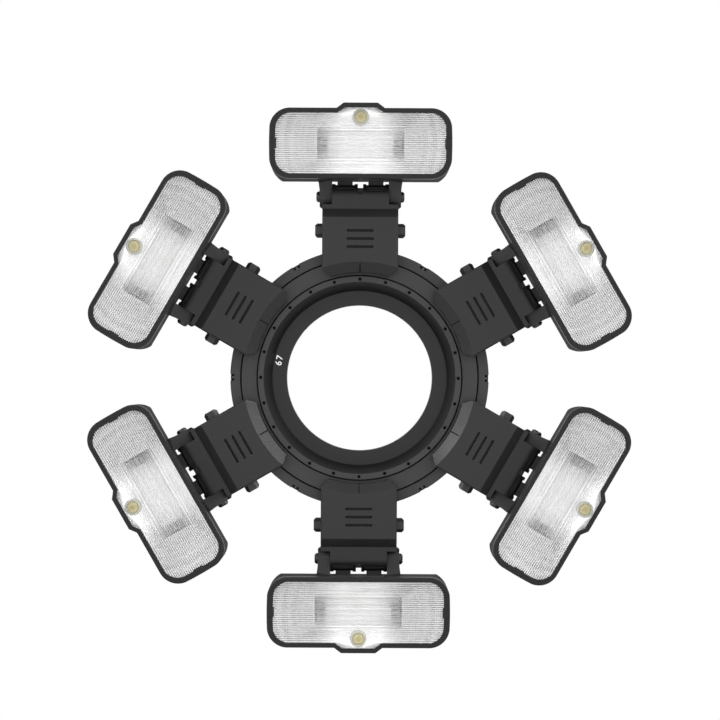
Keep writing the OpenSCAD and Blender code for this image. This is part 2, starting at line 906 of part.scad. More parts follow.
module bezel() {
    color("#3d3e40")
        translate([0, 0, head_z])
            difference() {
                union() {
                    front(bezel_f, head_f - bezel_bevel)
                        head_outline(0);
                    front(head_f - 2 * bezel_bevel, head_f)
                        head_outline(bezel_bevel / 2);
                }
                difference() {
                    front(-far, far)
                        view_outline(0);
                    for (s = [-1, 1])
                        front(head_f - pane_inset / 2 - bezel_lip, head_f - pane_inset / 2)
                            translate([s * (view_w / 2 + lap), 0])
                                square([2 * (clip_w + lap), clip_len], center = true);
                }
                front(-far, head_f - bezel_lip)
                    view_outline(rebate + seat);
                // fine seam across the short sides
                for (s = [-1, 1])
                    front(head_f - seam_h, far)
                        translate([s * head_w / 2, clip_len / 2])
                            square([3 * bezel_side, seam_h / 2], center = true);
            }
}

// side view of the window: flat front, ribbed back
module pane_side() {
    back = pane_f - pane_t;
    pitch = view_h / rib_n;
    polygon(concat(
        [[head_f - pane_inset, view_h], [head_f - pane_inset, -view_h]],
        [[back, -view_h], [back, -view_h / 2]],
        [for (i = [0:rib_n - 1]) for (p = [[back - rib_h, 0.5], [back, 1]])
            [p[0], (i + p[1]) * pitch - view_h / 2]],
        [[back, view_h]]
    ));
}

module window() {
    color("#e9eef2")
        translate([0, 0, head_z])
            difference() {
                intersection() {
                    union() {
                        front(-far, pane_f)
                            view_outline(rebate);
                        difference() {
                            front(-far, far)
                                view_outline(-seat);
                            for (s = [-1, 1])
                                front(-far, far)
                                    translate([s * (view_w / 2 + lap), 0])
                                        square([2 * (clip_w + lap + seat), clip_len + 2 * seat], center = true);
                        }
                    }
                    side(-far, far)
                        pane_side();
                }
                // plain patch round the lamp
                front(-far, pane_f - pane_t)
                    translate([-patch_w / 2, view_h / 2 - patch_h + tab_h])
                        square([patch_w, far]);
            }
}

// outline of the reflector's pan with its sloping walls: height along x, half width along y
module pan_slope(rim, base) {
    polygon([
        [mirror_f - pan_d, -base], [mirror_f, -rim], [mirror_f + lap, -rim], [mirror_f + lap, rim],
        [mirror_f, rim], [mirror_f - pan_d, base]
    ]);
}

module flash_core() {
    color("#c9ccd0")
        translate([0, 0, head_z]) {
            // reflector with its pan, trough and lamp hole
            difference() {
                union() {
                    intersection() {
                        front(mirror_back, mirror_f)
                            bowed(mirror_w, mirror_h, mirror_r);
                        side(-far, far)
                            drafted(mirror_h / 2);
                    }
                    front(mirror_f - mirror_rim, mirror_f)
                        view_outline(rebate / 2);
                }
                intersection() {
                    front(mirror_back, far)
                        bowed(mirror_w - 2 * rebate, mirror_h - 2 * rebate, mirror_r - rebate);
                    side(-far, far)
                        pan_slope(mirror_h / 2 - rebate, pan_h / 2);
                    above(-far, far)
                        rotate(90)
                            pan_slope(mirror_w / 2 - rebate, pan_w / 2);
                }
                side(-trough_x, trough_x)
                    translate([mirror_f - pan_d, 0])
                        circle(r = trough_r);
                side(-tube_len / 2 - run, tube_len / 2 + run)
                    translate([tube_f, 0])
                        circle(d = tube_d + 2 * seat);
                front(-far, far)
                    translate([0, lamp_rise])
                        circle(d = lamp_d + 4 * seat);
            }
            // flash tube
            side(-tube_len / 2, tube_len / 2)
                translate([tube_f, 0])
                    circle(d = tube_d);
            // modelling lamp
            translate([0, -lamp_f, lamp_rise])
                rotate([-90, 0, 0])
                    cylinder(d = lamp_d, h = lamp_len);
            // circuit board
            front(board_f - board_t, board_f)
                square([mirror_w - 2 * head_r, mirror_h - head_draft], center = true);
            // main capacitor and battery cell
            side(-cap_len / 2, cap_len / 2)
                translate([board_f - board_t - cap_d / 2 - 3 * seat, cap_z])
                    circle(d = cap_d);
            side(-cell_len / 2, cell_len / 2)
                translate([cell_f, cell_z])
                    circle(d = cell_d);
        }
}

lens_adapter();
index_ring();
rail_ring();
back_ring();
rim_screws();
for (k = [1:unit_n])
    at_unit(k) {
        arm();
        jaw();
        release_left();
        release_right();
        hinge_pin();
        head_shell();
        bezel();
        window();
        flash_core();
    }
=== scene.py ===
"""Finishes and fine pieces of a macro ring flash: a lens ring, six clip arms and six tilting flash heads."""

import math

import bmesh
import bpy
from bpy.props import FloatProperty, FloatVectorProperty, PointerProperty, StringProperty
from mathutils import Matrix, Vector


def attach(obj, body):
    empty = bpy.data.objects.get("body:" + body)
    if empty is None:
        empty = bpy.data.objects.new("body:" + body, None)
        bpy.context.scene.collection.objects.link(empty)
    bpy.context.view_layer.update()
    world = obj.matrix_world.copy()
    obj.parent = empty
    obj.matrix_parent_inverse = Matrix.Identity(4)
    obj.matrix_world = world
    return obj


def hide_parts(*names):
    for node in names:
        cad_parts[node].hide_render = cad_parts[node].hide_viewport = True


bl_info = {
    "name": "Macro ring flash",
    "version": (1, 0, 0),
    "blender": (4, 5, 0),
    "location": "3D View > Sidebar > Ring flash",
    "description": "Models the inside of the flash heads and gives every part of the ring flash its finish",
    "category": "Object",
}

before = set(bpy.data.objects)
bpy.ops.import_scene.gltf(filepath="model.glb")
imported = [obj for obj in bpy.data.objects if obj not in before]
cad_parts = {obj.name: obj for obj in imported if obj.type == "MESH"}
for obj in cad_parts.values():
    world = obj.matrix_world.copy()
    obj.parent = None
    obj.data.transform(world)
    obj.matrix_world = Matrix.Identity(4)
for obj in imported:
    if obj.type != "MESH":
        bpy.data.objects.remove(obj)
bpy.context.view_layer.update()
UNITS = range(1, 7)
TURN = math.radians(60.0)  # from one head to the next
MM = 0.001
NEAR = 0.01 * MM  # tolerance where points and faces are picked by their place
SHEET = 0.4 * MM  # thickness of the reflectors and of the tubes' glass
PLAN_SCALE = 10.0  # units of the reflector's "plan" coordinates in a metre
WHITE = (1.0, 1.0, 1.0, 1.0)
# Painted shade: grey of the lines along the windows' ribs, which stand in for the ribs' refraction
PAINTED_RIB_SHADE = (0.08, 0.08, 0.082, 1.0)  # lines along the windows' ribs

# Rotations that turn a plate or a cylinder to the front, to the back or along a head
TO_FRONT = (math.pi / 2, 0.0, 0.0)
TO_BACK = (-math.pi / 2, 0.0, 0.0)
ALONG = (0.0, math.pi / 2, 0.0)

# Places with a shade of their own. All but EARS are painted darker as shade that falls in recesses, grooves, gaps and
# slots, along the arms' tip walls and on the steep cone: two radii about the lens axis, then two distances in front of
# the lens seat
CONE = (0.0, 42.35 * MM, -9.0 * MM, 20.0 * MM)
DIMPLES = (42.35 * MM, 45.0 * MM, 8.0 * MM, 10.85 * MM)
GROOVE = (51.9 * MM, 52.7 * MM, 0.0, 9.2 * MM)
GAP = (44.9 * MM, 45.3 * MM, 0.0, 9.7 * MM)
TIP_WALL = (0.0, 46.6 * MM, 0.0, 13.9 * MM)
TIP_SLOT = (46.0 * MM, 50.4 * MM, 8.0 * MM, 20.0 * MM)
GRIPS = (56.0 * MM, 69.0 * MM, 16.2 * MM, 17.2 * MM)
EARS = (0.0, 87.6 * MM, -9.0 * MM, 20.0 * MM)

# Steps of the lamp's dome: the share of its radius and the height
DOME = ((0.93, 0.16 * MM), (0.80, 0.32 * MM), (0.64, 0.43 * MM), (0.50, 0.48 * MM), (0.42, 0.50 * MM),
        (0.26, 0.54 * MM), (0.10, 0.55 * MM))

# Place and size of the lights in metres. The first two stand on both sides
KEY_LIGHT = ((0.9, -1.0, 0.4), (0.8, 1.2))
STRIP_LIGHT = ((1.05, -0.25, 0.62), (0.4, 1.0))
TOP_LIGHT = ((0.1, -0.7, 1.25), (1.3, 0.9))
FILL_LIGHT = ((0.0, -2.2, 0.1), (3.0, 3.0))


def number(name, description, default, **kind):
    """A number that the sidebar can change."""
    return FloatProperty(name=name, description=description, default=default, **kind)


def length(name, description, default):
    """A size in metres that the sidebar can change."""
    return number(name, description, default, unit="LENGTH", precision=5)


def colour(name, description, default):
    """A colour that the sidebar can change."""
    return FloatVectorProperty(
        name=name, description=description, default=default, subtype="COLOR", size=3, min=0.0, max=1.0
    )


class FinishSettings(bpy.types.PropertyGroup):
    """Colours of the plastics, metals and prints."""

    arm: colour("Arms", "Black plastic of the clip arms", (0.012, 0.012, 0.0125))
    shell: colour("Housings", "Black plastic of the flash heads' housings", (0.015, 0.015, 0.0155))
    ears: colour("Ears", "Black plastic of the housings' hinge ears", (0.042, 0.042, 0.0434))
    bezel: colour("Bezels", "Black plastic of the bezels", (0.011, 0.011, 0.0115))
    rail: colour("Rail", "Black plastic of the rail and the back ring", (0.018, 0.018, 0.0187))
    lip: colour("Lip", "Black plastic of the index ring's lip", (0.026, 0.026, 0.027))
    adapter: colour("Adapter", "Black anodised metal of the lens adapter", (0.014, 0.014, 0.0146))
    button: colour("Buttons", "Black plastic of the release buttons", (0.014, 0.014, 0.0146))
    # Lighter tint of the edges, both as wear and as a painted highlight
    edge_wear_and_highlight: colour("Wear", "Rubbed edges of the black plastics", (0.085, 0.085, 0.088))
    steel: colour("Steel", "Wires and sleeves", (0.42, 0.42, 0.43))
    screw: colour("Screws", "Dark zinc of the rim screws", (0.075, 0.075, 0.078))
    pin: colour("Pins", "Blackened steel of the hinge pins", (0.035, 0.035, 0.037))
    mirror: colour("Reflector", "Bright aluminium of the reflectors", (0.985, 0.985, 0.985))
    cup: colour("Lamp cup", "Grey rim of the modelling lamps", (0.36, 0.355, 0.30))
    phosphor: colour("Lamp", "Pale yellow cover of the modelling lamps", (0.37, 0.33, 0.145))
    core: colour("Lamp core", "Yellow core of the modelling lamps", (0.305, 0.247, 0.052))
    mark: colour("Number", "White print of the thread size", (0.90, 0.90, 0.89))


class HeadSettings(bpy.types.PropertyGroup):
    """Sizes inside a flash head, measured on the head at the top of the ring."""

    middle: length("Middle", "Above the lens axis", 0.10205)
    rim: length("Rim", "In front of the lens seat", 0.02388)
    mirror_w: length("Reflector width", "Width of the reflector", 0.0751)
    mirror_h: length("Reflector height", "Height of the reflector", 0.0270)
    pan: length("Pan depth", "Depth of the reflector's pan", 0.0050)
    pan_w: length("Pan width", "Width of the pan's floor", 0.0506)
    pan_h: length("Pan height", "Height of the pan's floor", 0.0152)
    tab_w: length("Tab width", "Width of the reflector's tab at its foot", 0.0206)
    tab_h: length("Tab height", "Height of the reflector's tab", 0.0023)
    pitch: length("Rib pitch", "Distance between two ribs of the window", 0.0265 / 29)
    trough_w: length("Trough width", "Length of the reflector's trough", 0.0380)
    trough_r: length("Trough radius", "Radius of the reflector's trough", 0.0065)
    tube_r: length("Tube radius", "Radius of the flash tube", 0.0018)
    tube_w: length("Tube length", "Length of the flash tube", 0.0460)
    tube_f: length("Tube place", "In front of the lens seat", 0.01563)
    lamp_r: length("Lamp radius", "Radius of the modelling lamp", 0.0035)
    lamp_z: length("Lamp place", "Above the head's middle", 0.0117)
    lamp_f: length("Lamp front", "In front of the lens seat", 0.02373)
    lamp_d: length("Lamp length", "Length of the modelling lamp", 0.0085)


class PackSettings(bpy.types.PropertyGroup):
    """Sizes behind the reflector, on the back and in the side of the head at the top of the ring."""

    board_w: length("Board width", "Width of the circuit board", 0.0540)
    board_h: length("Board height", "Height of the circuit board", 0.0260)
    board_t: length("Board thickness", "Thickness of the circuit board", 0.0016)
    board_f: length("Board place", "In front of the lens seat", 0.00913)
    capacitor_r: length("Capacitor radius", "Radius of the main capacitor", 0.0050)
    capacitor_w: length("Capacitor length", "Length of the main capacitor", 0.0340)
    capacitor_f: length("Capacitor place", "In front of the lens seat", 0.00318)
    capacitor_z: length("Capacitor height", "Below the head's middle", 0.0080)
    cell_r: length("Cell radius", "Radius of the cell", 0.0065)
    cell_w: length("Cell length", "Length of the cell", 0.0500)
    cell_f: length("Cell place", "In front of the lens seat", 0.00168)
    cell_z: length("Cell height", "Above the head's middle", 0.0054)
    display_w: length("Display width", "Width of the display", 0.0180)
    display_h: length("Display height", "Height of the display", 0.0104)
    display_x: length("Display place", "Beside the head's middle", 0.0110)
    display_b: length("Display back", "Behind the lens seat", 0.0084)
    port_w: length("Port width", "Width of the charging port", 0.0086)
    port_h: length("Port height", "Height of the charging port", 0.0030)
    port_x: length("Port mouth", "Beside the head's middle", 0.03962)
    port_f: length("Port place", "In front of the lens seat", 0.0135)


class StageSettings(bpy.types.PropertyGroup):
    """Camera, light and floor."""

    distance: length("Camera distance", "In front of the lens seat", 1.127)
    focal: number("Focal length", "Focal length in millimetres", 126.6)
    shift_x: number("Shift across", "Shift of the picture across", 0.5 / 720.0)
    shift_y: number("Shift up", "Shift of the picture upwards", 17.9 / 720.0)
    roll: number("Roll", "Turn of the camera about its view", math.radians(-0.29), subtype="ANGLE")
    floor: length("Floor", "Height of the floor", -0.35)
    floor_w: length("Floor width", "Width of the floor", 2.4)
    fade_near: length("Fade start", "Distance where the floor begins to fade into white", 0.35)
    fade_far: length("Fade end", "Distance where the floor is white", 1.05)
    key: number("Key lights", "Power of each soft light in front", 2.5, unit="POWER")
    strip: number("Strip lights", "Power of each strip beside", 19.0, unit="POWER")
    top: number("Top light", "Power of the soft light above", 2.0, unit="POWER")
    fill: number("Fill light", "Power of the soft light in front", 32.0, unit="POWER")
    air: number("Ambient light", "Strength of the even light all round", 0.28)


def clear_selection():
    """Nothing is selected and nothing is open for editing."""
    if bpy.context.object and bpy.context.object.mode != "OBJECT":
        bpy.ops.object.mode_set(mode="OBJECT")
    bpy.ops.object.select_all(action="DESELECT")


def start(name):
    """The primitive just added, settled at the origin and open for editing."""
    piece = bpy.context.object
    piece.name = name
    bpy.ops.object.transform_apply(location=True, rotation=True, scale=True)
    bpy.ops.object.mode_set(mode="EDIT")
    return piece


def pick(piece, kind, test):
    """Selects the points, edges or faces of the open piece that pass a test."""
    bpy.ops.mesh.select_mode(type={"verts": "VERT", "edges": "EDGE", "faces": "FACE"}[kind])
    bpy.ops.mesh.select_all(action="DESELECT")
    mesh = bmesh.from_edit_mesh(piece.data)
    getattr(mesh, kind).ensure_lookup_table()
    found = [part for part in getattr(mesh, kind) if test(part)]
    if not found:
        raise RuntimeError(f"nothing to shape on {piece.name}")
    for part in found:
        part.select_set(True)
    mesh.select_flush_mode()
    bmesh.update_edit_mesh(piece.data)


def pull(offset, size=None, about=(0.0, 0.0, 0.0)):
    """Extrudes what is selected and scales its new end."""
    bpy.ops.mesh.extrude_region_move(TRANSFORM_OT_translate={"value": offset})
    if size:
        bpy.ops.transform.resize(value=size, center_override=about)


def cut(point, normal):
    """Cuts the selected faces along a plane."""
    bpy.ops.mesh.bisect(plane_co=point, plane_no=normal)


def close(piece, finish, angle=30.0, turn=True):
    """Ends the shaping of a piece: merged, facing outwards, smooth and with its finish."""
    bpy.ops.mesh.select_all(action="SELECT")
    bpy.ops.mesh.remove_doubles(threshold=1e-6)
    if turn:
        bpy.ops.mesh.normals_make_consistent(inside=False)
    bpy.ops.object.mode_set(mode="OBJECT")
    piece.data.materials.append(finish)
    bpy.ops.object.shade_smooth_by_angle(angle=math.radians(angle))
    return piece


def join(name, pieces):
    """One piece made of several that were shaped apart."""
    clear_selection()
    for piece in pieces:
        piece.select_set(True)
    bpy.context.view_layer.objects.active = pieces[0]
    bpy.ops.object.join()
    pieces[0].name = name
    return pieces[0]


def rod(name, radius, size, place, turn, vertices, ends="NGON"):
    """A round rod, open for editing."""
    clear_selection()
    bpy.ops.mesh.primitive_cylinder_add(vertices=vertices, radius=radius, depth=size, end_fill_type=ends,
                                        location=place, rotation=turn)
    return start(name)


def plate(name, place, turn, size, corner, segments):
    """A flat plate with rounded corners, open for editing and selected."""
    clear_selection()
    bpy.ops.mesh.primitive_plane_add(size=1.0, location=place, rotation=turn)
    piece = start(name)
    bpy.ops.mesh.select_all(action="SELECT")
    bpy.ops.transform.resize(value=size, center_override=place)
    bpy.ops.mesh.bevel(offset=corner, offset_type="OFFSET", segments=segments, affect="VERTICES")
    pick(piece, "faces", lambda f: True)
    return piece


def level(face, y):
    """Whether a face lies at a distance along the lens axis."""
    return abs(face.calc_center_median().y - y) < NEAR


def apply_all(piece):
    """Applies the modifiers of a piece in their order."""
    clear_selection()
    piece.select_set(True)
    bpy.context.view_layer.objects.active = piece
    for modifier in list(piece.modifiers):
        bpy.ops.object.modifier_apply(modifier=modifier.name)


def thicken(piece, thickness):
    """Gives a thin sheet its wall."""
    wall = piece.modifiers.new("wall", "SOLIDIFY")
    wall.thickness = thickness
    wall.offset = -1.0
    apply_all(piece)


def spread(piece, stem, core=False):
    """A copy of the piece on every flash head, each with its own mesh."""
    parts = [piece]
    for k in UNITS[1:]:
        part = piece.copy()
        part.data = piece.data.copy()
        part.data.transform(Matrix.Rotation(TURN * (k - 1), 4, "Y"))
        bpy.context.collection.objects.link(part)
        parts.append(part)
    for k, part in zip(UNITS, parts):
        part.name = f"{stem}_{k}"
        part.data.name = part.name
        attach(part, f"flash_head_{k}")
        if core:
            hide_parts(f"flash_core_{k}")
    clear_selection()


def paint(nodes, finish):
    """Gives CAD nodes a finish."""
    for name in nodes:
        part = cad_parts[name]
        if not part.material_slots:
            part.data.materials.append(finish)
        for slot in part.material_slots:
            slot.material = finish


def of_units(*stems):
    """Names of the nodes of all six arms and heads."""
    return [f"{stem}_{k}" for stem in stems for k in UNITS]


def blank(name):
    """A new finish with its node tree and shader."""
    finish = bpy.data.materials.new(name)
    finish.use_nodes = True
    return finish, finish.node_tree, finish.node_tree.nodes["Principled BSDF"]


def fill(tree, node, sockets):
    """Links the sockets of a node or sets their values."""
    for name, value in sockets.items():
        if isinstance(value, bpy.types.NodeSocket):
            tree.links.new(value, node.inputs[name])
        else:
            node.inputs[name].default_value = value


def add(tree, kind, sockets=None, **settings):
    """A new node with its settings and sockets."""
    node = tree.nodes.new("ShaderNode" + kind)
    for name, value in settings.items():
        setattr(node, name, value)
    fill(tree, node, sockets or {})
    return node


def calc(tree, operation, first, *others):
    """The result of a sum on one value, or on several in turn."""
    if not others:
        return add(tree, "Math", {0: first}, operation=operation).outputs[0]
    for other in others:
        first = add(tree, "Math", {0: first, 1: other}, operation=operation).outputs[0]
    return first


def product(tree, *values):
    """The product of several values."""
    return calc(tree, "MULTIPLY", *values)


def mixed(tree, share, first, second):
    """A colour between two others."""
    return add(tree, "Mix", {0: share, 6: first, 7: second}, data_type="RGBA").outputs[2]


def stretch(tree, value, low, high, new_low, new_high):
    """A value moved from one range to another."""
    sockets = {"Value": value, "From Min": low, "From Max": high, "To Min": new_low, "To Max": new_high}
    return add(tree, "MapRange", sockets).outputs[0]


def noise(tree, place, scale, detail=3.0):
    """Even noise at a scale in cells per metre."""
    return add(tree, "TexNoise", {"Vector": place, "Scale": scale, "Detail": detail}).outputs["Fac"]


def bands(tree, value, scale, detail):
    """Noise along one value, at a scale in cells per metre."""
    sockets = {"W": value, "Scale": scale, "Detail": detail}
    return add(tree, "TexNoise", sockets, noise_dimensions="1D").outputs["Fac"]


def shade(tint, factor):
    """A colour made darker or lighter."""
    return tuple(min(1.0, part * factor) for part in tint[:3]) + (1.0,)


def own_place(tree):
    """The place on the object, in metres."""
    return add(tree, "TexCoord").outputs["Object"]


def parts_of(tree, vector):
    """The three parts of a vector."""
    return add(tree, "SeparateXYZ", {0: vector}).outputs


def size_of(tree, vector):
    """The length of a vector."""
    return add(tree, "VectorMath", {0: vector}, operation="LENGTH").outputs["Value"]


def reach(tree, across, up):
    """The distance of a point from the middle of its plane."""
    return size_of(tree, add(tree, "CombineXYZ", {0: across, 1: up}).outputs[0])


def from_axis(tree, place):
    """The distance from the lens axis."""
    flat = add(tree, "VectorMath", {0: place, 1: (1.0, 0.0, 1.0)}, operation="MULTIPLY").outputs[0]
    return size_of(tree, flat)


def edges(tree, radius):
    """The normal with softened edges, and a mask of those edges."""
    soft = add(tree, "Bevel", {"Radius": radius}, samples=6).outputs[0]
    flat = add(tree, "NewGeometry").outputs["Normal"]
    facing = add(tree, "VectorMath", {0: soft, 1: flat}, operation="DOT_PRODUCT").outputs["Value"]
    return soft, stretch(tree, facing, 0.995, 0.86, 0.0, 1.0)


def emboss(tree, shader, height, strength, depth, normal=None):
    """Raises a pattern on the surface."""
    sockets = {"Height": height, "Strength": strength, "Distance": depth}
    if normal is not None:
        sockets["Normal"] = normal
    fill(tree, shader, {"Normal": add(tree, "Bump", sockets).outputs[0]})


def let_lamps_through(tree, shader):
    """Keeps clear plastic and glass from shading what lies behind them."""
    shadow = add(tree, "LightPath").outputs["Is Shadow Ray"]
    fill(tree, shader, {"Alpha": stretch(tree, shadow, 0.0, 1.0, 1.0, 0.1), "Transmission Weight": 1.0})


def pulse(tree, value, middle, half):
    """One where a value lies near its middle, and nothing elsewhere."""
    return add(tree, "Math", {0: value, 1: middle, 2: half}, operation="COMPARE").outputs[0]


def zone(tree, place, limits):
    """One between two radii about the lens axis and two distances in front of the lens seat, and nothing elsewhere."""
    low_r, high_r, low_f, high_f = limits
    front = product(tree, parts_of(tree, place)["Y"], -1.0)
    around = pulse(tree, from_axis(tree, place), (low_r + high_r) / 2, (high_r - low_r) / 2)
    return product(tree, around, pulse(tree, front, (low_f + high_f) / 2, (high_f - low_f) / 2))


def spokes(tree, place, half):
    """One within a half width of the middles of the six arms, and nothing elsewhere."""
    parts = parts_of(tree, place)
    turn = calc(tree, "PINGPONG", calc(tree, "ARCTAN2", parts["X"], parts["Z"]), TURN / 2)
    return calc(tree, "LESS_THAN", product(tree, turn, from_axis(tree, place)), half)


def moulded(name, tint, edge_wear_and_highlight, rough, grain, depth, specular=0.5, painted_shade=(), pale=None, slot=None):
    """Moulded plastic: fine eroded grain, cloudy gloss and edges lighter, partly rubbed and partly a painted highlight.

    The painted shade lists zones, such as recesses, grooves and gaps where shade falls, with the share of that painted
    shade;
    pale is a zone with its tint, and slot is the zone of the slots in the middles of the arms, painted as shade too,
    with half their width.
    """
    finish, tree, shader = blank(name)
    place = own_place(tree)
    cloud = noise(tree, place, 45.0, 5.0)
    fine = noise(tree, place, grain, 2.0)
    soft, mask = edges(tree, 0.22 * MM)
    tone = mixed(tree, cloud, shade(tint, 0.86), shade(tint, 1.14))
    if pale:
        tone = mixed(tree, zone(tree, place, pale[0]), tone, shade(pale[1], 1.0))
    painted_shade_zones = [product(tree, zone(tree, place, limits), share) for limits, share in painted_shade]
    if slot:
        painted_shade_zones.append(product(tree, zone(tree, place, slot[0]), spokes(tree, place, slot[1])))
    if painted_shade_zones:
        # Painted shade: these zones are tinted near black and made partly metallic, which dims their gloss
        recess = calc(tree, "MAXIMUM", 0.0, *painted_shade_zones)
        tone = mixed(tree, stretch(tree, recess, 0.0, 0.2, 0.0, 1.0), tone, shade(tint, 0.12))
        fill(tree, shader, {"Metallic": recess})
    # Edges painted lighter, partly as wear and partly as a painted highlight
    rubbed_and_highlit = product(tree, mask, stretch(tree, noise(tree, place, 240.0), 0.3, 0.7, 0.165, 0.55))
    gloss = stretch(tree, cloud, 0.3, 0.7, rough - 0.05, rough + 0.05)
    fill(tree, shader, {"Base Color": mixed(tree, rubbed_and_highlit, tone, shade(edge_wear_and_highlight, 1.0)),
                        "Roughness": calc(tree, "ADD", gloss, product(tree, fine, 0.06)),
                        "Specular IOR Level": specular})
    emboss(tree, shader, fine, 0.35, depth, soft)
    return finish


def lathe(name, tint, edge_wear_and_highlight, rough, specular, thread_r):
    """Turned and anodised metal: fine rings about the lens axis, and the lens thread on its spigot."""
    finish, tree, shader = blank(name)
    place = own_place(tree)
    back = parts_of(tree, place)["Y"]
    radius = from_axis(tree, place)
    rings = bands(tree, calc(tree, "ADD", radius, product(tree, back, 0.7)), 5200.0, 2.0)
    cloud = noise(tree, place, 60.0, 4.0)
    soft, mask = edges(tree, 0.2 * MM)
    tone = mixed(tree, cloud, shade(tint, 0.88), shade(tint, 1.12))
    # Edges painted lighter, partly as wear and partly as a painted highlight
    fill(tree, shader, {"Base Color": mixed(tree, product(tree, mask, 0.5), tone, shade(edge_wear_and_highlight, 1.0)),
                        "Roughness": stretch(tree, rings, 0.25, 0.75, rough - 0.06, rough + 0.06),
                        "Specular IOR Level": specular})
    fine = add(tree, "Bump", {"Height": rings, "Strength": 0.2, "Distance": 0.03 * MM, "Normal": soft}).outputs[0]
    thread_pitch, thread_start, thread_end = 0.75 * MM, 0.3 * MM, 4.3 * MM
    turns = calc(tree, "SINE", product(tree, back, 2.0 * math.pi / thread_pitch))
    spigot = product(tree, calc(tree, "GREATER_THAN", back, thread_start), calc(tree, "LESS_THAN", back, thread_end),
                     calc(tree, "LESS_THAN", radius, thread_r + 0.2 * MM))
    emboss(tree, shader, product(tree, turns, spigot), 0.9, 0.2 * MM, fine)
    return finish


def metal(name, tint, rough, scale, depth, metallic=1.0):
    """Metal with fine scratches and a cloudy gloss."""
    finish, tree, shader = blank(name)
    place = own_place(tree)
    cloud = noise(tree, place, scale, 4.0)
    fine = noise(tree, place, scale * 14.0, 2.0)
    soft, mask = edges(tree, 0.12 * MM)
    tone = mixed(tree, cloud, shade(tint, 0.9), shade(tint, 1.08))
    # Edges painted lighter, partly as rubbed metal and partly as a painted highlight
    fill(tree, shader, {"Base Color": mixed(tree, product(tree, mask, 0.4), tone, shade(tint, 1.5)),
                        "Roughness": stretch(tree, cloud, 0.25, 0.75, rough - 0.05, rough + 0.08),
                        "Metallic": metallic})
    emboss(tree, shader, fine, 0.25, depth, soft)
    return finish


def mirror_sheet(name, tint, sizes):
    """Bright rolled aluminium, white in the middle, with painted shade: greyer towards its ends and the foot of the
    pan, dark lines at the trough's end walls and brink, and streaks of shade along the trough.
    """
    finish, tree, shader = blank(name)
    place = add(tree, "UVMap", uv_map="plan").outputs[0]
    plan = parts_of(tree, place)
    along = calc(tree, "DIVIDE", calc(tree, "SUBTRACT", plan["X"], 0.5), PLAN_SCALE)
    up = calc(tree, "DIVIDE", calc(tree, "SUBTRACT", plan["Y"], 0.5), PLAN_SCALE)
    far, away = calc(tree, "ABSOLUTE", along), calc(tree, "ABSOLUTE", up)
    half, edge = sizes.trough_w / 2, sizes.trough_r
    within = calc(tree, "LESS_THAN", far, half + 0.2 * MM)
    trough = product(tree, within, calc(tree, "LESS_THAN", away, edge))
    pan = calc(tree, "SUBTRACT", 1.0, trough)
    drawn = add(tree, "VectorMath", {0: place, 1: (1.2, 44.0, 1.0)}, operation="MULTIPLY").outputs[0]
    streak = stretch(tree, noise(tree, drawn, 1.0, 1.0), 0.46, 0.58, 0.0, 1.0)
    # Painted shade: streaks along the trough that deepen towards its ends, grey towards the pan's ends and foot, and
    # dark lines at the trough's end walls and brink
    depth = calc(tree, "ADD", stretch(tree, far, 4.0 * MM, 10.0 * MM, 0.07, 0.14),
                 stretch(tree, far, 12.0 * MM, 18.5 * MM, 0.0, 0.34))
    streak_shade = product(tree, streak, trough, depth)
    ends = product(tree, pan, stretch(tree, far, 8.0 * MM, 17.0 * MM, 0.0, 0.36))
    slope = stretch(tree, up, -6.2 * MM, -8.5 * MM, 0.0, 0.42)
    wall = product(tree, pulse(tree, far, half - 0.2 * MM, 0.4 * MM), trough, 0.6)
    brink_shade = product(tree, pulse(tree, away, edge, 0.22 * MM), within, 0.55)
    painted_shade = calc(tree, "MAXIMUM", streak_shade, ends, slope, wall, brink_shade)
    dents = noise(tree, drawn, 2.0, 1.0)
    fill(tree, shader, {"Base Color": mixed(tree, painted_shade, shade(tint, 1.0), shade(tint, 0.3)),
                        "Metallic": stretch(tree, trough, 0.0, 1.0, 0.45, 0.40),
                        "Roughness": stretch(tree, dents, 0.25, 0.75, 0.22, 0.34)})
    emboss(tree, shader, dents, 0.2, 0.1 * MM)
    return finish


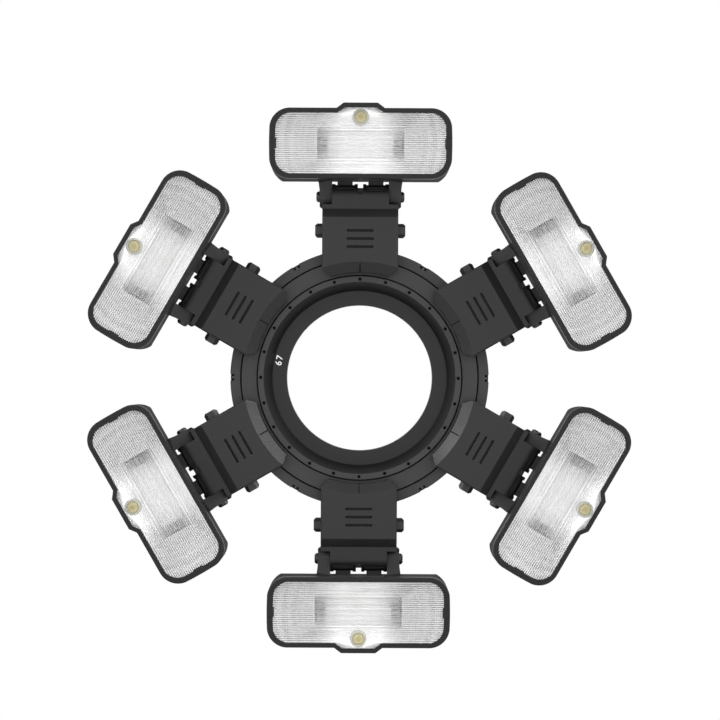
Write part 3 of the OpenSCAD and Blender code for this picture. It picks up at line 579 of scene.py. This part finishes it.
def pane(name, turn, sizes):
    """Clear ribbed acrylic, turned to lie along one head: painted shade in lines along its ribs and across them,
    standing in for the ribs' refraction, in faint arcs, and plain in the middle and round the lamp."""
    finish, tree, shader = blank(name)
    place = add(tree, "Mapping", {"Vector": own_place(tree), "Rotation": (0.0, turn, 0.0)}).outputs[0]
    parts = parts_of(tree, place)
    across, up = parts["X"], calc(tree, "SUBTRACT", parts["Z"], sizes.middle)
    ribs = calc(tree, "COSINE", product(tree, up, 2.0 * math.pi / sizes.pitch))
    cross = calc(tree, "SINE", product(tree, across, 2.0 * math.pi / (0.9 * MM)))
    haze = noise(tree, place, 160.0, 3.0)
    arcs = bands(tree, reach(tree, across, up), 420.0, 1.0)
    from_lamp = reach(tree, across, calc(tree, "SUBTRACT", up, sizes.lamp_z))
    # Painted shade: grey lines along the ribs and faint lines across them, fading in the middle and round the lamp
    painted_rib_lines = calc(tree, "ADD", stretch(tree, ribs, -0.3, -1.0, 0.0, 1.0), stretch(tree, cross, 0.3, 1.0, 0.0, 0.12))
    painted_rib_lines = product(tree, painted_rib_lines, stretch(tree, haze, 0.3, 0.7, 0.8, 1.0), stretch(tree, arcs, 0.35, 0.65, 0.78, 1.08),
                    stretch(tree, calc(tree, "ABSOLUTE", across), 8.0 * MM, 20.0 * MM, 0.04, 0.98),
                    stretch(tree, from_lamp, 5.0 * MM, 9.0 * MM, 0.0, 1.0))
    fill(tree, shader, {"Base Color": mixed(tree, painted_rib_lines, WHITE, PAINTED_RIB_SHADE),
                        "Roughness": stretch(tree, haze, 0.3, 0.7, 0.02, 0.05), "IOR": 1.49})
    emboss(tree, shader, cross, 0.12, 0.04 * MM)
    let_lamps_through(tree, shader)
    return finish


def clear_glass(name):
    """Clear glass with faint streaks."""
    finish, tree, shader = blank(name)
    streak = noise(tree, own_place(tree), 300.0, 2.0)
    fill(tree, shader, {"Base Color": WHITE, "Roughness": stretch(tree, streak, 0.2, 0.8, 0.0, 0.05), "IOR": 1.47})
    emboss(tree, shader, streak, 0.1, 0.05 * MM)
    let_lamps_through(tree, shader)
    return finish


def lacquer(name, tint, rough, scale, coat=0.0, share=0.12):
    """Smooth coloured surface with slight cloudiness, as on lamps, sleeves, prints and glass fronts."""
    finish, tree, shader = blank(name)
    cloud = noise(tree, own_place(tree), scale, 4.0)
    fill(tree, shader, {"Base Color": mixed(tree, cloud, shade(tint, 1.0 - share), shade(tint, 1.0 + share)),
                        "Roughness": stretch(tree, cloud, 0.25, 0.75, rough - 0.05, rough + 0.05),
                        "Coat Weight": coat, "Coat Roughness": 0.08})
    emboss(tree, shader, cloud, 0.15, 0.02 * MM)
    return finish


class RINGFLASH_OT_dress_ring(bpy.types.Operator):
    """Gives the lens adapter, the index ring, the rail, the back ring and the rim screws their finishes"""

    bl_idname = "ringflash.dress_ring"
    bl_label = "Dress the ring"

    def execute(self, context):
        tints = context.scene.ring_finish
        paint(["lens_adapter"], lathe("adapter_anodised", tints.adapter, tints.edge_wear_and_highlight, rough=0.44, specular=0.19,
                                      thread_r=33.5 * MM))
        # Painted shade on the index ring's cone and in its dimples, and in the rail's groove and the gap beside it
        paint(["index_ring"], moulded("index_plastic_black", tints.lip, tints.edge_wear_and_highlight, rough=0.50, grain=3800.0,
                                      depth=0.03 * MM, specular=0.28, painted_shade=((CONE, 0.2), (DIMPLES, 0.9))))
        paint(["rail_ring"], moulded("rail_plastic_black", tints.rail, tints.edge_wear_and_highlight, rough=0.50, grain=3800.0,
                                     depth=0.03 * MM, specular=0.35, painted_shade=((GROOVE, 0.9), (GAP, 0.9))))
        paint(["back_ring"], moulded("back_plastic_black", tints.rail, tints.edge_wear_and_highlight, rough=0.56, grain=2600.0,
                                     depth=0.05 * MM))
        paint(["rim_screws"], metal("screw_zinc", tints.screw, rough=0.36, scale=500.0, depth=0.02 * MM))
        return {"FINISHED"}


class RINGFLASH_OT_dress_arms(bpy.types.Operator):
    """Gives the clip arms, jaws, release buttons and hinge pins their finishes"""

    bl_idname = "ringflash.dress_arms"
    bl_label = "Dress the arms"

    def execute(self, context):
        tints = context.scene.ring_finish
        # Painted shade along the arms' tip walls, in their grip grooves and in their tip slots
        paint(of_units("arm", "jaw"), moulded("arm_plastic_black", tints.arm, tints.edge_wear_and_highlight, rough=0.42, grain=1900.0,
                                             depth=0.05 * MM, specular=0.225, painted_shade=((TIP_WALL, 0.8), (GRIPS, 0.3)),
                                             slot=(TIP_SLOT, 0.24 * MM)))
        paint(of_units("release_left", "release_right"),
              moulded("button_plastic_black", tints.button, tints.edge_wear_and_highlight, rough=0.38, grain=3000.0, depth=0.03 * MM,
                      specular=0.34))
        paint(of_units("hinge_pin"), metal("pin_blackened", tints.pin, rough=0.34, scale=400.0, depth=0.02 * MM,
                                           metallic=0.7))
        return {"FINISHED"}


class RINGFLASH_OT_dress_heads(bpy.types.Operator):
    """Gives the flash heads' housings, bezels and windows their finishes"""

    bl_idname = "ringflash.dress_heads"
    bl_label = "Dress the heads"

    def execute(self, context):
        tints = context.scene.ring_finish
        paint(of_units("head_shell"),
              moulded("shell_plastic_black", tints.shell, tints.edge_wear_and_highlight, rough=0.80, grain=2600.0, depth=0.04 * MM,
                      specular=0.14, pale=(EARS, tints.ears)))
        paint(of_units("bezel"),
              moulded("bezel_plastic_black", tints.bezel, tints.edge_wear_and_highlight, rough=0.42, grain=3600.0, depth=0.03 * MM,
                      specular=0.13))
        for k in UNITS:
            paint([f"window_{k}"], pane(f"window_acrylic_{k}", TURN * (1 - k), context.scene.ring_head))
        return {"FINISHED"}


class RINGFLASH_OT_add_reflectors(bpy.types.Operator):
    """Models the bright reflector of each head: a rim, a pan, a trough for the tube and a hole for the lamp"""

    bl_idname = "ringflash.add_reflectors"
    bl_label = "Add the reflectors"

    def pan(self, sizes):
        """The rounded rim with its sloped pan, open for editing."""
        middle = (0.0, -sizes.rim, sizes.middle)
        rim, corner = 0.5 * MM, 7.0 * MM
        piece = plate("reflector_1", middle, TO_FRONT, (sizes.mirror_w, 1.0, sizes.mirror_h), corner, 8)
        bpy.ops.mesh.inset(thickness=rim)
        slope = (sizes.pan_w / (sizes.mirror_w - 2 * rim), 1.0, sizes.pan_h / (sizes.mirror_h - 2 * rim))
        pull((0.0, sizes.pan, 0.0), slope, middle)
        return piece

    def trough(self, piece, sizes):
        """The round trough in the floor of the pan."""
        z, half_x = sizes.middle, sizes.trough_w / 2
        floor = sizes.pan - sizes.rim
        for side in (-1.0, 1.0):
            pick(piece, "faces", lambda f: level(f, floor))
            cut((side * half_x, floor, z), (1.0, 0.0, 0.0))
            pick(piece, "faces", lambda f: level(f, floor))
            cut((0.0, floor, z + side * sizes.trough_r), (0.0, 0.0, 1.0))
        pick(piece, "faces", lambda f: level(f, floor) and abs(f.calc_center_median().x) < half_x * 0.5
             and abs(f.calc_center_median().z - z) < sizes.trough_r * 0.5)
        steps, sweep, depth, taper = 10, math.radians(84.0), 0.97 * sizes.trough_r, 0.994
        for i in range(steps):
            low, high = sweep * i / steps, sweep * (i + 1) / steps
            drop = depth * (math.sin(high) - math.sin(low))
            pull((0.0, drop, 0.0), (taper, 1.0, math.cos(high) / math.cos(low)), (0.0, 0.0, z))

    def tab(self, piece, sizes):
        """The tab at the top of the rim."""
        z, foot, taper = sizes.middle, sizes.tab_w / 2, 0.70
        top = z + sizes.mirror_h / 2
        for x in (-foot, foot):
            pick(piece, "faces", lambda f: level(f, -sizes.rim) and f.calc_center_median().z > z)
            cut((x, 0.0, top), (1.0, 0.0, 0.0))
        pick(piece, "edges", lambda e: e.is_boundary
             and all(abs(v.co.x) < foot + NEAR and v.co.z > top - NEAR for v in e.verts))
        pull((0.0, 0.0, sizes.tab_h), (taper, 1.0, 1.0), (0.0, -sizes.rim, z))

    def lamp_hole(self, piece, sizes):
        """The hole for the modelling lamp."""
        clear_selection()
        bpy.ops.mesh.primitive_cylinder_add(vertices=40, radius=sizes.lamp_r + 0.05 * MM, depth=20.0 * MM,
                                            location=(0.0, -sizes.rim, sizes.middle + sizes.lamp_z), rotation=TO_FRONT)
        drill = bpy.context.object
        hole = piece.modifiers.new("lamp_hole", "BOOLEAN")
        hole.operation = "DIFFERENCE"
        hole.object = drill
        apply_all(piece)
        bpy.data.objects.remove(drill)

    def execute(self, context):
        sizes = context.scene.ring_head
        piece = self.pan(sizes)
        self.trough(piece, sizes)
        self.tab(piece, sizes)
        close(piece, mirror_sheet("reflector_aluminium", context.scene.ring_finish.mirror, sizes), 40.0, False)
        thicken(piece, SHEET)
        self.lamp_hole(piece, sizes)
        plan = piece.data.uv_layers.new(name="plan")
        for loop in piece.data.loops:
            spot = piece.data.vertices[loop.vertex_index].co
            plan.data[loop.index].uv = (0.5 + PLAN_SCALE * spot.x, 0.5 + PLAN_SCALE * (spot.z - sizes.middle))
        spread(piece, "reflector", True)
        return {"FINISHED"}


class RINGFLASH_OT_add_tubes(bpy.types.Operator):
    """Models the glass flash tube of each head and its electrodes"""

    bl_idname = "ringflash.add_tubes"
    bl_label = "Add the flash tubes"

    def tube(self, place, sizes):
        """The glass with its necked ends."""
        ends = 6.0 * MM
        piece = rod("flash_tube_1", sizes.tube_r, sizes.tube_w - ends, place, ALONG, 32, "NOTHING")
        for side in (-1.0, 1.0):
            pick(piece, "edges", lambda e: e.is_boundary and all(v.co.x * side > 0.0 for v in e.verts))
            for step, grow in ((0.9, 0.72), (1.6, 0.95), (0.4, 0.9)):
                pull((side * step * MM, 0.0, 0.0), (1.0, grow, grow), place)
        close(piece, clear_glass("tube_quartz"))
        thicken(piece, SHEET)
        return piece

    def electrode(self, place, side, finish):
        """The rod at one end of the tube, with its wire."""
        wire = 5.5 * MM
        piece = rod("electrode", 1.1 * MM, 2.4 * MM, place, ALONG, 20)
        pick(piece, "faces", lambda f: f.normal.x * side < -0.9)
        pull((-side * 0.3 * MM, 0.0, 0.0), (1.0, 0.7, 0.7), place)
        pick(piece, "faces", lambda f: f.normal.x * side > 0.9)
        pull((side * 0.2 * MM, 0.0, 0.0), (1.0, 0.4, 0.4), place)
        pull((side * wire, 0.0, 0.0))
        return close(piece, finish)

    def execute(self, context):
        sizes = context.scene.ring_head
        place = (0.0, -sizes.tube_f, sizes.middle)
        spread(self.tube(place, sizes), "flash_tube", True)
        nickel = metal("electrode_nickel", context.scene.ring_finish.steel, rough=0.3, scale=600.0, depth=0.01 * MM)
        x = sizes.tube_w / 2 - 7.0 * MM
        rods = [self.electrode((side * x, *place[1:]), side, nickel) for side in (-1.0, 1.0)]
        spread(join("electrodes_1", rods), "electrodes", True)
        return {"FINISHED"}


class RINGFLASH_OT_add_lamps(bpy.types.Operator):
    """Models the modelling lamp of each head: a cup with a rim and a domed yellow cover"""

    bl_idname = "ringflash.add_lamps"
    bl_label = "Add the modelling lamps"

    def cup(self, sizes, z, finish):
        """The cup with its rounded rim."""
        rim, recess, taper = 0.55 * MM, 0.9 * MM, 0.93
        place = (0.0, sizes.lamp_d / 2 - sizes.lamp_f, z)
        piece = rod("lamp_cup_1", sizes.lamp_r, sizes.lamp_d, place, TO_FRONT, 48)
        pick(piece, "edges", lambda e: all(v.co.y < NEAR - sizes.lamp_f for v in e.verts))
        bpy.ops.mesh.bevel(offset=0.2 * MM, segments=2)
        pick(piece, "faces", lambda f: f.normal.y < -0.9 and f.calc_area() > 10.0 * MM * MM)
        bpy.ops.mesh.inset(thickness=rim)
        pull((0.0, recess, 0.0), (taper, 1.0, taper), (0.0, -sizes.lamp_f, z))
        return close(piece, finish)

    def dome(self, sizes, z, cover, core):
        """The domed cover in the cup, with its core in the middle."""
        radius = sizes.lamp_r - 0.85 * MM
        middle = (0.0, 0.55 * MM - sizes.lamp_f, z)
        clear_selection()
        bpy.ops.mesh.primitive_circle_add(vertices=48, radius=radius, fill_type="NGON", location=middle,
                                          rotation=TO_FRONT)
        piece = start("lamp_dome_1")
        pick(piece, "faces", lambda f: True)
        last_share, last_height = 1.0, 0.0
        for share, height in DOME:
            grow = share / last_share
            pull((0.0, last_height - height, 0.0), (grow, 1.0, grow), middle)
            last_share, last_height = share, height
        close(piece, cover, 60.0)
        piece.data.materials.append(core)
        for face in piece.data.polygons:
            away = (face.center - Vector((0.0, face.center.y, z))).length
            face.material_index = int(face.center.y < middle[1] and away < 0.44 * radius)
        return piece

    def execute(self, context):
        sizes = context.scene.ring_head
        tints = context.scene.ring_finish
        z = sizes.middle + sizes.lamp_z
        cup = self.cup(sizes, z, lacquer("lamp_cup_grey", tints.cup, rough=0.34, scale=700.0))
        spread(cup, "lamp_cup", True)
        cover = lacquer("lamp_phosphor", tints.phosphor, rough=0.28, scale=900.0, coat=0.3)
        core = lacquer("lamp_core", tints.core, rough=0.22, scale=900.0, coat=0.4)
        spread(self.dome(sizes, z, cover, core), "lamp_dome", True)
        return {"FINISHED"}


class RINGFLASH_OT_add_power_packs(bpy.types.Operator):
    """Models what lies behind the reflector of each head: the circuit board, the main capacitor and the cell"""

    bl_idname = "ringflash.add_power_packs"
    bl_label = "Add the power packs"

    def board(self, pack, z):
        """The board with the parts that stand on it."""
        place = (0.0, -pack.board_f, z)
        clear_selection()
        bpy.ops.mesh.primitive_cube_add(size=1.0, location=place)
        piece = start("circuit_board_1")
        bpy.ops.transform.resize(value=(pack.board_w, pack.board_t, pack.board_h), center_override=place)
        for x in (-20.0, -8.0, 8.0, 20.0):
            pick(piece, "faces", lambda f: f.normal.y > 0.9)
            cut((x * MM, 0.0, z), (1.0, 0.0, 0.0))
        for up in (-9.0, -3.0, 4.0):
            pick(piece, "faces", lambda f: f.normal.y > 0.9)
            cut((0.0, 0.0, z + up * MM), (0.0, 0.0, 1.0))
        pick(piece, "faces", lambda f: f.normal.y > 0.9 and abs(f.calc_center_median().x) > 18.0 * MM
             and f.calc_center_median().z < z)
        bpy.ops.mesh.inset(thickness=1.0 * MM, use_individual=True)
        pull((0.0, 1.2 * MM, 0.0))
        bpy.ops.mesh.inset(thickness=0.3 * MM, use_individual=True)
        return close(piece, lacquer("board_green", (0.02, 0.11, 0.05), rough=0.38, scale=500.0, share=0.25))

    def can(self, name, radius, size, place, finish, nub):
        """A round can along the head with a rolled bead, a rim and a raised end."""
        ends = 4.0 * MM
        piece = rod(name, radius, size - ends, place, ALONG, 40)
        pick(piece, "faces", lambda f: f.normal.x > 0.9)
        for step, grow in ((0.5, 0.9), (0.5, 1.0), (0.5, 1.0 / 0.9), (0.3, 0.96)):
            pull((step * MM, 0.0, 0.0), (1.0, grow, grow), place)
        bpy.ops.mesh.inset(thickness=radius * 0.3)
        pull((nub, 0.0, 0.0), (1.0, 0.9, 0.9), place)
        pick(piece, "faces", lambda f: f.normal.x < -0.9)
        pull((-0.4 * MM, 0.0, 0.0), (1.0, 0.95, 0.95), place)
        bpy.ops.mesh.inset(thickness=radius * 0.2)
        pull((0.3 * MM, 0.0, 0.0))
        return close(piece, finish)

    def execute(self, context):
        pack = context.scene.ring_pack
        z = context.scene.ring_head.middle
        spread(self.board(pack, z), "circuit_board", True)
        sleeve = lacquer("capacitor_sleeve", (0.012, 0.012, 0.014), rough=0.3, scale=300.0)
        place = (0.0, -pack.capacitor_f, z - pack.capacitor_z)
        capacitor = self.can("capacitor_1", pack.capacitor_r, pack.capacitor_w, place, sleeve, nub=0.2 * MM)
        spread(capacitor, "capacitor", True)
        sleeve = lacquer("cell_sleeve", (0.05, 0.13, 0.24), rough=0.3, scale=300.0)
        place = (0.0, -pack.cell_f, z + pack.cell_z)
        cell = self.can("cell_1", pack.cell_r, pack.cell_w, place, sleeve, nub=1.0 * MM)
        spread(cell, "cell", True)
        return {"FINISHED"}


class RINGFLASH_OT_add_displays(bpy.types.Operator):
    """Models the display glass in the control panel on the back of each head"""

    bl_idname = "ringflash.add_displays"
    bl_label = "Add the displays"

    def execute(self, context):
        pack = context.scene.ring_pack
        place = (-pack.display_x, pack.display_b, context.scene.ring_head.middle)
        piece = plate("display_1", place, TO_BACK, (pack.display_w, 1.0, pack.display_h), 1.6 * MM, 5)
        pull((0.0, 0.35 * MM, 0.0))
        pull((0.0, 0.1 * MM, 0.0), (0.988, 1.0, 0.98), place)
        bpy.ops.mesh.inset(thickness=1.5 * MM)
        pull((0.0, -0.05 * MM, 0.0))
        close(piece, lacquer("display_glass", (0.012, 0.014, 0.016), rough=0.08, scale=200.0, coat=0.6))
        spread(piece, "display")
        return {"FINISHED"}


class RINGFLASH_OT_add_ports(bpy.types.Operator):
    """Models the metal sleeve and the tongue of the charging port in the side of each head"""

    bl_idname = "ringflash.add_ports"
    bl_label = "Add the charging ports"

    def execute(self, context):
        pack = context.scene.ring_pack
        wall, depth, tongue = 0.28 * MM, 0.62 * MM, 0.5 * MM
        place = (pack.port_x, -pack.port_f, context.scene.ring_head.middle)
        piece = plate("charging_port_1", place, ALONG, (1.0, pack.port_w, pack.port_h), 1.45 * MM, 7)
        bpy.ops.mesh.inset(thickness=wall)
        pull((-depth, 0.0, 0.0))
        bpy.ops.mesh.inset(thickness=0.75 * MM)
        pull((tongue, 0.0, 0.0))
        pick(piece, "edges", lambda e: e.is_boundary)
        pull((-0.12 * MM - depth, 0.0, 0.0))
        bpy.ops.mesh.edge_face_add()
        close(piece, metal("port_steel", context.scene.ring_finish.steel, rough=0.28, scale=500.0, depth=0.01 * MM))
        spread(piece, "charging_port")
        return {"FINISHED"}


class RINGFLASH_OT_add_size_number(bpy.types.Operator):
    """Prints the thread size in plain white numbers on the face of the lens adapter"""

    bl_idname = "ringflash.add_size_number"
    bl_label = "Add the size number"

    body: StringProperty(name="Number", description="Thread size in millimetres", default="67")
    height: length("Height", "Height of the numbers", 0.0040)
    radius: length("Radius", "Distance from the lens axis", 0.0364)
    front: length("Front", "In front of the lens seat", 0.00301)
    turn: number("Turn", "Place of the number round the ring", math.radians(-78.0), subtype="ANGLE")

    def execute(self, context):
        clear_selection()
        bpy.ops.object.text_add(rotation=TO_FRONT)
        text = bpy.context.object.data
        text.body = self.body
        text.size = self.height
        text.offset = 0.03 * MM
        text.align_x = "CENTER"
        text.align_y = "CENTER"
        text.space_character = 1.25
        text.extrude = 0.02 * MM
        bpy.ops.object.convert(target="MESH")
        piece = start("size_number")
        close(piece, lacquer("number_white", context.scene.ring_finish.mark, rough=0.5, scale=900.0), 30.0, False)
        turn = Matrix.Rotation(self.turn, 4, "Y")
        piece.data.transform(turn @ Matrix.Translation((0.0, -self.front, self.radius)))
        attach(piece, "ring")
        return {"FINISHED"}


class RINGFLASH_OT_set_stage(bpy.types.Operator):
    """Sets the camera, the soft lights, the white surroundings and the pale floor"""

    bl_idname = "ringflash.set_stage"
    bl_label = "Set the stage"

    def lamp(self, name, place, size, power, side=1.0):
        """A soft lamp, on its own or on one side, that points at the middle of the ring."""
        place = Vector((side * place[0], place[1], place[2]))
        aim = (-place).to_track_quat("-Z", "Y").to_euler()
        bpy.ops.object.light_add(type="AREA", location=place, rotation=aim)
        lamp = bpy.context.object
        lamp.name = name
        lamp.data.shape = "RECTANGLE"
        lamp.data.size, lamp.data.size_y = size
        lamp.data.energy = power
        lamp.visible_camera = False
        lamp.visible_transmission = False

    def seen(self, tree):
        """One on what the camera sees, straight or in metal and glass."""
        path = add(tree, "LightPath").outputs
        return calc(tree, "MAXIMUM", path["Is Camera Ray"], path["Is Glossy Ray"], path["Is Transmission Ray"])

    def surroundings(self, context, air):
        """White where it is seen or mirrored, and an even ambient light on the object."""
        world = bpy.data.worlds.new("studio")
        context.scene.world = world
        world.use_nodes = True
        tree = world.node_tree
        tree.nodes.clear()
        seen = self.seen(tree)
        even = add(tree, "Background", {"Color": WHITE, "Strength": air}).outputs[0]
        white = add(tree, "Background", {"Color": WHITE, "Strength": 1.0}).outputs[0]
        add(tree, "OutputWorld", {"Surface": add(tree, "MixShader", {0: seen, 1: even, 2: white}).outputs[0]})

    def floor(self, stage):
        """A pale floor below the object that fades into the white surroundings."""
        bpy.ops.mesh.primitive_plane_add(size=stage.floor_w, location=(0.0, 0.0, stage.floor))
        floor = bpy.context.object
        floor.name = "floor"
        finish, tree, shader = blank("floor_pale")
        place = own_place(tree)
        cloud = noise(tree, place, 9.0, 5.0)
        tone = mixed(tree, cloud, shade(WHITE, 0.84), shade(WHITE, 0.88))
        fill(tree, shader, {"Base Color": tone, "Roughness": 0.7})
        far = stretch(tree, size_of(tree, place), stage.fade_near, stage.fade_far, 0.0, 1.0)
        fade = product(tree, far, self.seen(tree))
        white = add(tree, "Emission", {"Color": WHITE, "Strength": 1.0}).outputs[0]
        surface = add(tree, "MixShader", {0: fade, 1: shader.outputs[0], 2: white}).outputs[0]
        fill(tree, tree.nodes["Material Output"], {"Surface": surface})
        floor.data.materials.append(finish)

    def execute(self, context):
        stage = context.scene.ring_stage
        clear_selection()
        bpy.ops.object.camera_add(location=(0.0, -stage.distance, 0.0), rotation=(math.pi / 2, stage.roll, 0.0))
        camera = bpy.context.object
        camera.name = "camera"
        camera.data.lens = stage.focal
        camera.data.sensor_width = 36.0
        camera.data.shift_x = stage.shift_x
        camera.data.shift_y = stage.shift_y
        context.scene.camera = camera
        for name, side in (("left", -1.0), ("right", 1.0)):
            self.lamp(f"{name}_light", *KEY_LIGHT, stage.key, side)
            self.lamp(f"{name}_strip", *STRIP_LIGHT, stage.strip, side)
        self.lamp("top_light", *TOP_LIGHT, stage.top)
        self.lamp("fill_light", *FILL_LIGHT, stage.fill)
        self.surroundings(context, stage.air)
        self.floor(stage)
        context.scene.view_settings.view_transform = "Standard"
        clear_selection()
        return {"FINISHED"}


STEPS = (
    RINGFLASH_OT_dress_ring,
    RINGFLASH_OT_dress_arms,
    RINGFLASH_OT_dress_heads,
    RINGFLASH_OT_add_reflectors,
    RINGFLASH_OT_add_tubes,
    RINGFLASH_OT_add_lamps,
    RINGFLASH_OT_add_power_packs,
    RINGFLASH_OT_add_displays,
    RINGFLASH_OT_add_ports,
    RINGFLASH_OT_add_size_number,
    RINGFLASH_OT_set_stage,
)


class RINGFLASH_PT_panel(bpy.types.Panel):
    """Lists the settings and the steps"""

    bl_idname = "RINGFLASH_PT_panel"
    bl_label = "Ring flash"
    bl_space_type = "VIEW_3D"
    bl_region_type = "UI"
    bl_category = "Ring flash"

    def draw(self, context):
        layout = self.layout
        scene = context.scene
        for group in (scene.ring_finish, scene.ring_head, scene.ring_pack, scene.ring_stage):
            box = layout.box()
            for name in group.__annotations__:
                box.prop(group, name)
        for step in STEPS:
            layout.operator(step.bl_idname)


CLASSES = (FinishSettings, HeadSettings, PackSettings, StageSettings, *STEPS, RINGFLASH_PT_panel)


def register():
    for item in CLASSES:
        bpy.utils.register_class(item)
    bpy.types.Scene.ring_finish = PointerProperty(type=FinishSettings)
    bpy.types.Scene.ring_head = PointerProperty(type=HeadSettings)
    bpy.types.Scene.ring_pack = PointerProperty(type=PackSettings)
    bpy.types.Scene.ring_stage = PointerProperty(type=StageSettings)


def unregister():
    del bpy.types.Scene.ring_stage
    del bpy.types.Scene.ring_pack
    del bpy.types.Scene.ring_head
    del bpy.types.Scene.ring_finish
    for item in reversed(CLASSES):
        bpy.utils.unregister_class(item)


def main():
    register()
    bpy.ops.ringflash.dress_ring()
    bpy.ops.ringflash.dress_arms()
    bpy.ops.ringflash.dress_heads()
    bpy.ops.ringflash.add_reflectors()
    bpy.ops.ringflash.add_tubes()
    bpy.ops.ringflash.add_lamps()
    bpy.ops.ringflash.add_power_packs()
    bpy.ops.ringflash.add_displays()
    bpy.ops.ringflash.add_ports()
    bpy.ops.ringflash.add_size_number()
    bpy.ops.ringflash.set_stage()


if __name__ == "__main__":
    main()
